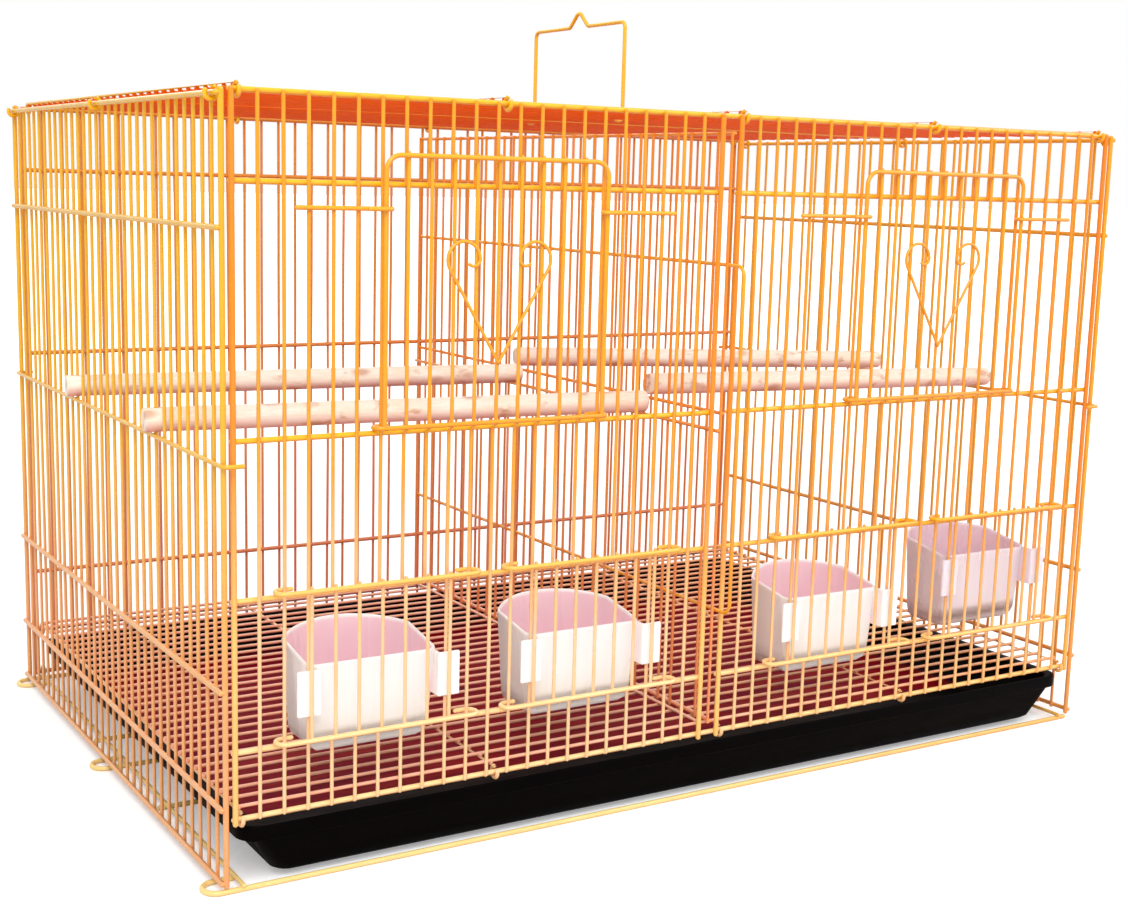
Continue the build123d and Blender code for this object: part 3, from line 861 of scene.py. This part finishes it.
cup_half_width, cup_straight, cup_depth = 37.6 * mm, 35 * mm, 55 * mm
cup_wall, cup_corner = 1.6 * mm, 6 * mm
cup_low, cup_front_rim, cup_back_rim = 62 * mm, 112 * mm, 122 * mm
cup_lifts = (0.0, 0.0, 0.0, 14 * mm)
cup_narrowing = math.tan(math.radians(4))
cup_face_y = front_y + 5.1 * mm
rim_slope = (cup_back_rim - cup_front_rim) / cup_depth
ear_low, ear_high = 88 * mm, 112 * mm
ear_overlap, ear_depth, ear_bevel = 7 * mm, 3 * mm, 0.45 * mm


def cup_ring(middle, inset, level):
    """The cup's outline, drawn in by an inset, at a height that may follow y."""
    half = cup_half_width - inset
    front = cup_face_y + inset
    straight_end = cup_face_y + cup_straight
    apex = cup_face_y + cup_depth - inset
    corner = max(cup_corner - inset, 1.5 * mm)
    sagitta = apex - straight_end
    radius = (half * half + sagitta * sagitta) / (2 * sagitta)
    centre_y = apex - radius
    turn = math.degrees(math.asin(min(1.0, half / radius)))
    if centre_y > straight_end:
        turn = 180 - turn
    ring = [Vector((middle + (corner - half + 2 * (half - corner) * k / 10), front, 0))
            for k in range(10)]
    ring += arc((middle + half - corner, front + corner, 0), X, Y, corner, -90, 90, 6)
    ring += arc((middle, centre_y, 0), X, Y, radius, 90 - turn, 2 * turn, 40)
    ring += arc((middle - half + corner, front + corner, 0), X, Y, corner, 180, 90, 6)[:-1]
    return [(point.x, point.y, level(point.y)) for point in ring]


def mark_inside(mesh, middle, lift):
    """Marks the inner faces of a cup, for its colour."""
    centre = Vector((middle, cup_face_y + cup_depth / 2))
    mark = mesh.attributes.new("inside", "FLOAT", "POINT")
    for vertex in mesh.vertices:
        to_centre = centre - vertex.co.xy
        rim = cup_front_rim + (vertex.co.y - cup_face_y) * rim_slope
        within = cup_low + 1.2 * mm < vertex.co.z - lift < rim - cup_wall
        inward = vertex.normal.xy.dot(to_centre) > 0.2 * to_centre.length
        on_floor = vertex.normal.z > 0.9 and to_centre.length < 30 * mm
        mark.data[vertex.index].value = float(within and (inward or on_floor))


def build_cup(number, material):
    """One feed cup: a tapered shell with a rolled rim and its two ears."""
    left, right = feeder_edges[number - 1]
    middle = (left + right) / 2
    lift = cup_lifts[number - 1]

    def rim(y):
        return lift + cup_front_rim + (y - cup_face_y) * rim_slope

    def ring(share, base, inset):
        narrowed = inset + cup_narrowing * (1 - share) * (cup_back_rim - base)
        return cup_ring(middle, narrowed, lambda y: base + lift + share * (rim(y) - base - lift))

    floor = cup_low + cup_wall
    rings = [ring(0, cup_low + rise * mm, draw_in * mm)
             for draw_in, rise in ((8, 0), (4, 1.1), (1.1, 4), (0, 8))]
    rings += [ring(share, cup_low, 0) for share in (0.15, 0.3, 0.45, 0.6, 0.75, 0.88, 0.96)]
    rings += [cup_ring(middle, inset * mm, lambda y, drop=drop: rim(y) - drop * mm)
              for inset, drop in ((0.0, 0.8), (0.25, 0.25), (0.8, 0.0), (1.35, 0.25), (1.6, 0.8))]
    rings += [ring(share, floor, cup_wall) for share in (0.96, 0.8, 0.6, 0.4, 0.2)]
    rings += [ring(0, floor + rise * mm, cup_wall + draw_in * mm)
              for draw_in, rise in ((1.1, 4), (4, 1.1), (8, 0))]
    shell = skin(rings)
    for face in shell.faces:
        face.smooth = True

    ear_x = right - middle + ear_overlap
    web_x = cup_half_width - cup_narrowing * (cup_back_rim - ear_low)
    back = cup_face_y + ear_depth
    outline = [(ear_x, ear_y), (ear_x, ear_y + ear_wall), (web_x, ear_y + ear_wall),
               (web_x, back), (web_x - ear_wall, back), (web_x - ear_wall, ear_y)]
    for hand in (-1, 1):
        ear = skin([[(middle + hand * x, y, z + lift) for x, y in outline]
                    for z in (ear_low, ear_high)])
        bmesh.ops.recalc_face_normals(ear, faces=ear.faces)
        bmesh.ops.bevel(ear, geom=ear.edges[:], offset=ear_bevel, segments=2, affect="EDGES")
        shell.from_mesh(to_mesh(ear, "ear"))
    bmesh.ops.recalc_face_normals(shell, faces=shell.faces)
    name = f"feed_cup_{number}_shell"
    mesh = to_mesh(shell, name)
    mesh.materials.append(material)
    mark_inside(mesh, middle, lift)
    return show(name, mesh)


def cup_material(name, outer, inner, clear):
    """Moulded plastic: paler outside, pinker inside, with faint flow streaks."""
    material, tree = new_material(name)
    spot = object_place(tree)
    streaks = cloud(tree, stretched(tree, spot, (1, 1, 0.15)), 60.0, 3.0)
    patch = spread(tree, streaks, 0.3, 0.7)
    marked = add(tree, "ShaderNodeAttribute", {"attribute_name": "inside"}, "Fac")
    wall = mix_colour(tree, patch, outer, [0.965 * c for c in outer[:3]] + [1])
    colour = mix_colour(tree, marked, wall, inner)
    join_shader(tree, colour, between(tree, patch, 0.2, 0.34), cloud(tree, spot, 900.0, 2.0),
                0.08, 0.2 * mm)
    set_shader(tree, Subsurface_Weight=0.4, Subsurface_Radius=(0.012, 0.01, 0.009),
               Transmission_Weight=clear)
    return material


white_plastic = cup_material("white_plastic", linear(255, 254, 254), linear(255, 222, 231), 0.0)
lilac_plastic = cup_material("lilac_plastic", linear(255, 240, 247), linear(255, 226, 236), 0.15)


# Tray

tray_low = rail_wire + 0.3 * mm
tray_top = front_low - eye_radius - loop_wire / 2 - run_gap
tray_front = front_y - 1 * mm
tray_back = back_y - 6.5 * mm
tray_half = half_width - 3 * mm
tray_wall, tray_flange, tray_skirt = 1.5 * mm, 10 * mm, 8 * mm
tray_slope = math.tan(math.radians(30))
tray_front_slope = math.tan(math.radians(17))
stain_start, stain_full = tray_front + 76 * mm, tray_front + 84 * mm


def tray_ring(inset, front_inset, level, corner):
    """The tray's rounded outline, drawn in by an inset and one of its own at the front."""
    ring = []
    left, right = -tray_half + inset + corner, tray_half - inset - corner
    low, high = tray_front + front_inset + corner, tray_back - inset - corner
    for x, y, start in ((right, low, -90), (right, high, 0), (left, high, 90), (left, low, 180)):
        ring += arc((x, y, level), X, Y, corner, start, 90, 8)
    return ring


def build_tray():
    """The pull-out tray: rolled lip, rounded skirt, steep front, sloping walls and flat floor."""
    skirt = tray_top - tray_skirt
    flange = tray_flange - tray_wall
    lip = tray_top - tray_wall
    depth = skirt - tray_low
    inner_depth = depth - tray_wall
    foot, front_foot = depth * tray_slope, depth * tray_front_slope
    under, floor = flange + foot, tray_flange + inner_depth * tray_slope
    front_floor = tray_wall + inner_depth * tray_front_slope
    floor_top = tray_low + tray_wall
    # Each ring: side inset, front inset and level, each with its millimetres to add, and corner
    rings = (
        (under, 9, front_foot, 9, tray_low, 0, 8), (under, 4, front_foot, 4, tray_low, 0, 8),
        (under, 1, front_foot, 1.4, tray_low, 0.5, 8),
        (under, -1.4, front_foot, -0.6, tray_low, 2.2, 8),
        (flange + 0.5 * foot, 0, 0.5 * front_foot, 0, tray_low + 0.5 * depth, 0, 8),
        (flange, 0.6, 0, 0.2, skirt, -0.5, 8), (flange, 0, 0, 0.1, skirt, 0.6, 8),
        (flange, 0, 0, 0.6, lip, -0.4, 8), (flange, -0.4, 0, 0.7, lip, 0, 8),
        (tray_wall, 0.4, 0, 0.8, lip, 0, 10), (tray_wall, 0, 0, 0.6, lip, -0.4, 10),
        (tray_wall, 0, 0, 0.3, skirt, 0.6, 11), (tray_wall * 0.75, 0, 0, 0.2, skirt, 0, 12),
        (tray_wall * 0.25, 0, 0, 0.1, skirt, 0, 12), (0, 0, 0, 0, skirt, 0.6, 12),
        (0, 0, 0, 0, tray_top, -1.2, 12), (0, 0.3, 0, 0.1, tray_top, -0.6, 12),
        (0, 1, 0, 0.3, tray_top, -0.2, 12), (0, 2.2, 0, 0.6, tray_top, 0, 12),
        (tray_flange, -1.2, 0, 1, tray_top, 0, 9),
        (tray_flange, -0.3, 0, 1.3, tray_top, -0.35, 9),
        (tray_flange, 0, tray_wall, 0, tray_top, -1.2, 8),
        (tray_flange, 0, tray_wall, 0, skirt, 0.5, 8),
        (tray_flange, 0.5, tray_wall, 0.2, skirt, -0.7, 8),
        (floor, -2.5, front_floor, -1.2, floor_top, 3, 8),
        (floor, 0.5, front_floor, 0.6, floor_top, 0.8, 8),
        (floor, 4, front_floor, 4, floor_top, 0, 8),
        (floor, 10, front_floor, 10, floor_top, 0, 8),
    )
    shape = skin([tray_ring(side + a * mm, front + b * mm, level + c * mm, corner * mm)
                  for side, a, front, b, level, c, corner in rings])
    bmesh.ops.recalc_face_normals(shape, faces=shape.faces)
    for face in shape.faces:
        face.smooth = len(face.verts) == 4
    mesh = to_mesh(shape, "tray_shell")
    mesh.materials.append(tray_plastic())
    return show("tray_shell", mesh)


def tray_plastic():
    """Black moulded plastic with fine wipe marks, its floor with a deep maroon cast."""
    material, tree = new_material("tray_plastic")
    spot = object_place(tree)
    marks = cloud(tree, stretched(tree, spot, (0.2, 1, 1)), 90.0, 5.0)
    patch = spread(tree, marks, 0.35, 0.7)
    axes = axes_of(tree, spot)
    low = spread(tree, axes["Z"], 8.5 * mm, 4.5 * mm)
    up = spread(tree, axes_of(tree, surface_normal(tree))["Z"], 0.2, 0.9)
    behind = spread(tree, axes["Y"], stain_start, stain_full)
    stained = calc(tree, "MULTIPLY", calc(tree, "MULTIPLY", low, up), behind)
    wall = mix_colour(tree, patch, linear(1, 0, 0), linear(4, 2, 2))
    stain = mix_colour(tree, patch, linear(146, 4, 14), linear(110, 14, 38))
    join_shader(tree, mix_colour(tree, stained, wall, stain), between(tree, patch, 0.4, 0.6),
                marks, 0.1, 0.3 * mm)
    set_shader(tree, Specular_IOR_Level=0.03)
    return material


# Perches

perch_radius = 6.75 * mm
perch_rest = 0.4 * mm
perch_end = 7 * mm
perch_inner = 2.2 * mm
# Each perch: side, bar of the side panel, shift of its inner end along Y, and ledge
perch_rows = ((-1, 8, -29 * mm, left_ledge), (-1, 20, -30 * mm, left_ledge),
              (1, 17, 22 * mm, right_ledge), (1, 8, -26 * mm, right_ledge))
notch_size = (20 * mm, 3.2 * mm, 40 * mm)
edge_round, edge_depth, edge_inner = 0.9 * mm, 0.8 * mm, 0.3 * mm
perch_steps, perch_sides = 90, 36


def build_perch(number, material):
    """One turned perch, notched over its side bar, with knots and tool marks."""
    side, bar, skew, ledge = perch_rows[number - 1]
    outer_z = side_hook_rail + loop_wire / 2 + perch_rest + perch_radius
    inner_z = ledge + divider_rail / 2 + perch_rest + perch_radius
    outer = Vector((side * side_x, side_bars[bar], outer_z))
    inner = Vector((slot_x + side * perch_inner, side_bars[bar] + skew, inner_z))
    along = (inner - outer).normalized()
    start = outer - along * perch_end
    length = (inner - start).length
    across = Z.cross(along).normalized()
    up = along.cross(across)
    seed = Vector((17.3 * number, 5.1, 2.7))
    stations = [0.0, edge_inner, edge_round]
    stations += [edge_round + (length - 2 * edge_round) * k / perch_steps
                 for k in range(1, perch_steps)]
    stations += [length - edge_round, length - edge_inner, length]
    rings = []
    for station in stations:
        from_end = min(station, length - station)
        round_off = edge_depth * max(0.0, 1 - from_end / edge_round) ** 2
        ring = []
        for turn in range(perch_sides):
            angle = 2 * math.pi * turn / perch_sides
            outward = across * math.cos(angle) + up * math.sin(angle)
            spot = Vector((station * 18, math.cos(angle) * 0.8, math.sin(angle) * 0.8)) + seed
            dent = 0.28 * mm * (noise.noise(spot) - 0.5) + 0.08 * mm * noise.noise(spot * 4)
            ring.append(start + along * station
                        + outward * (perch_radius - round_off - abs(dent)))
        rings.append(ring)
    shape = skin(rings)
    bmesh.ops.recalc_face_normals(shape, faces=shape.faces)
    name = f"perch_{number}_dowel"
    perch = show(name, to_mesh(shape, "perch"))
    block = bmesh.new()
    bmesh.ops.create_cube(block, size=1.0)
    turned = Matrix((along, across, up)).transposed().to_4x4()
    block.transform(Matrix.Translation(start) @ turned @ Matrix.Diagonal((*notch_size, 1)))
    cutter = show("cutter", to_mesh(block, "notch"))
    cut = perch.modifiers.new("notch", "BOOLEAN")
    cut.operation, cut.object, cut.solver = "DIFFERENCE", cutter, "EXACT"
    mesh = baked(perch)
    bpy.data.objects.remove(cutter)
    for polygon in mesh.polygons:
        polygon.use_smooth = abs(polygon.normal.dot(along)) < 0.5
    mesh.materials.clear()
    mesh.materials.append(material)
    perch = show(name, mesh)
    perch.modifiers.new("edge", "EDGE_SPLIT").split_angle = math.radians(38)
    return perch


def perch_wood(number):
    """Pale turned wood: long grain, knots and bark flecks, with pink painted shade on its underside.
    """
    material, tree = new_material(f"perch_wood_{number}")
    spot = object_place(tree)
    lengthwise = stretched(tree, spot, (0.06, 1, 1), (0.37 * number, 0.11 * number, 0))
    broad = stretched(tree, spot, (0.45, 1, 1), (0.07 * number, 0, 0))
    grain = cloud(tree, lengthwise, 750.0, 6.0, Roughness=0.65)
    lines = spread(tree, grain, 0.38, 0.66)
    warm = spread(tree, cloud(tree, spot, 26.0, 3.0), 0.4, 0.65)
    colour = mix_colour(tree, warm, linear(255, 249, 238), linear(255, 238, 218))
    # Painted shade: faces turned down are mixed towards a darker pink.
    below = spread(tree, axes_of(tree, surface_normal(tree))["Z"], 0.1, -0.8, 0.0, 0.85)
    colour = mix_colour(tree, below, colour, linear(232, 150, 146))
    colour = mix_colour(tree, between(tree, lines, 0.0, 0.3), colour, linear(238, 190, 136))
    knots = add(tree, "ShaderNodeTexVoronoi", out="Distance", Vector=broad, Scale=62.0)
    bark = calc(tree, "MAXIMUM", spread(tree, knots, 0.24, 0.1),
                spread(tree, cloud(tree, broad, 120.0, 4.0), 0.6, 0.7))
    colour = mix_colour(tree, between(tree, bark, 0.0, 0.6), colour, linear(190, 112, 40))
    join_shader(tree, colour, between(tree, lines, 0.5, 0.68), grain, 0.35, 0.4 * mm)
    return material


# Every piece in its node's place

for node, build, slot in (
        ("front_panel", build_front, "panel_wire"), ("door_guides", build_guides, "panel_wire"),
        ("back_panel", build_back, "panel_wire"), ("top_panel", build_top, "panel_wire"),
        ("floor_grate", build_grate, "grate_wire"), ("divider_track", build_track, "grate_wire"),
        ("base_frame", build_base, "panel_wire")):
    place(build(), "cage_shell", node, slot)
for hand, word, edges in ((-1, "left", door_edges[0]), (1, "right", door_edges[1])):
    name = f"side_panel_{word}"
    place(build_side(hand, name), name, name, "panel_wire")
    name = f"main_door_{word}"
    place(build_door(*edges, word), name, name, "panel_wire")
    place(build_heart(*edges, word), name, f"door_heart_{word}", "panel_wire")
for number in range(1, 5):
    name = f"feeder_gate_{number}"
    place(build_gate(number), name, name, "panel_wire")
    name = f"feed_cup_{number}"
    if number == 4:
        place(build_cup(number, lilac_plastic), name, name, "cup_tinted_plastic")
    else:
        place(build_cup(number, white_plastic), name, name, "cup_plastic")
    name = f"perch_{number}"
    place(build_perch(number, perch_wood(number)), name, name, "perch_wood")
place(build_divider(), "divider", "divider", "panel_wire")
place(build_tray(), "tray", "tray", "tray_plastic")
place(build_handle(), "handle", "handle", "panel_wire")


# Floor, light and camera

def build_floor():
    """A white floor that keeps the cage's shadow."""
    shape = bmesh.new()
    bmesh.ops.create_grid(shape, x_segments=1, y_segments=1, size=30.0)
    mesh = to_mesh(shape, "floor")
    floor = show("floor", mesh)
    material, tree = new_material("white_floor")
    set_shader(tree, Base_Color=(0.9, 0.9, 0.9, 1), Roughness=1.0, Specular_IOR_Level=0.0)
    away = calc(tree, "LENGTH", object_place(tree), kind="VectorMath", out="Value")
    glow = add(tree, "ShaderNodeEmission", Color=(1, 1, 1, 1),
               Strength=spread(tree, away, 0.7, 2.5, 0.32, 1.0))
    none = add(tree, "ShaderNodeEmission", Color=(0, 0, 0, 1), Strength=0.0)
    to_camera = add(tree, "ShaderNodeLightPath", out="Is Camera Ray")
    shown = add(tree, "ShaderNodeMixShader", i0=to_camera, i1=none, i2=glow)
    both = add(tree, "ShaderNodeAddShader", i0=tree.nodes["Principled BSDF"].outputs[0], i1=shown)
    tree.links.new(both, tree.nodes["Material Output"].inputs["Surface"])
    mesh.materials.append(material)


def build_world():
    """Even soft light all round, white where the camera sees it."""
    world = bpy.data.worlds.new("studio")
    bpy.context.scene.world = world
    world.use_nodes = True
    tree = world.node_tree
    rays = tree.nodes.new("ShaderNodeLightPath").outputs
    seen = calc(tree, "MAXIMUM", rays["Is Camera Ray"], rays["Is Glossy Ray"])
    seen = calc(tree, "MAXIMUM", seen, rays["Is Transmission Ray"])
    background = tree.nodes["Background"]
    background.inputs["Color"].default_value = (1, 1, 1, 1)
    tree.links.new(between(tree, seen, 0.62, 1.0), background.inputs["Strength"])


def add_lamp(name, place_at, size, power):
    """A large soft lamp aimed at the cage's middle."""
    light = bpy.data.lights.new(name, "AREA")
    light.size = size
    light.energy = power
    lamp = show(name, light)
    lamp.location = place_at
    aim = Vector((0, 0, cage_height / 2))
    lamp.rotation_euler = (aim - Vector(place_at)).to_track_quat("-Z", "Y").to_euler()


def add_camera():
    """The camera at the photograph's place and angle."""
    sensor = 36.0
    image_width = 1128
    focal_pixels = 1633.3
    data = bpy.data.cameras.new("photo_camera")
    data.sensor_width = sensor
    data.lens = focal_pixels / image_width * sensor
    data.clip_start = 0.01
    camera = show("photo_camera", data)
    camera.location = (-573.4 * mm, -946.5 * mm, 359.0 * mm)
    forward = Vector((0.51870, 0.83898, -0.16450)).normalized()
    right = Vector((0.85260, -0.52188, 0.02672)).normalized()
    up = right.cross(forward)
    camera.rotation_euler = Matrix((right, up, -forward)).transposed().to_euler()
    bpy.context.scene.camera = camera


build_floor()
build_world()
add_lamp("key", (-1.1, -1.9, 2.2), 1.6, 46)
add_lamp("fill", (1.9, -1.3, 1.5), 1.8, 20)
add_lamp("back", (0.2, 2.2, 1.9), 1.8, 16)
add_camera()

bpy.context.scene.view_settings.view_transform = "Standard"
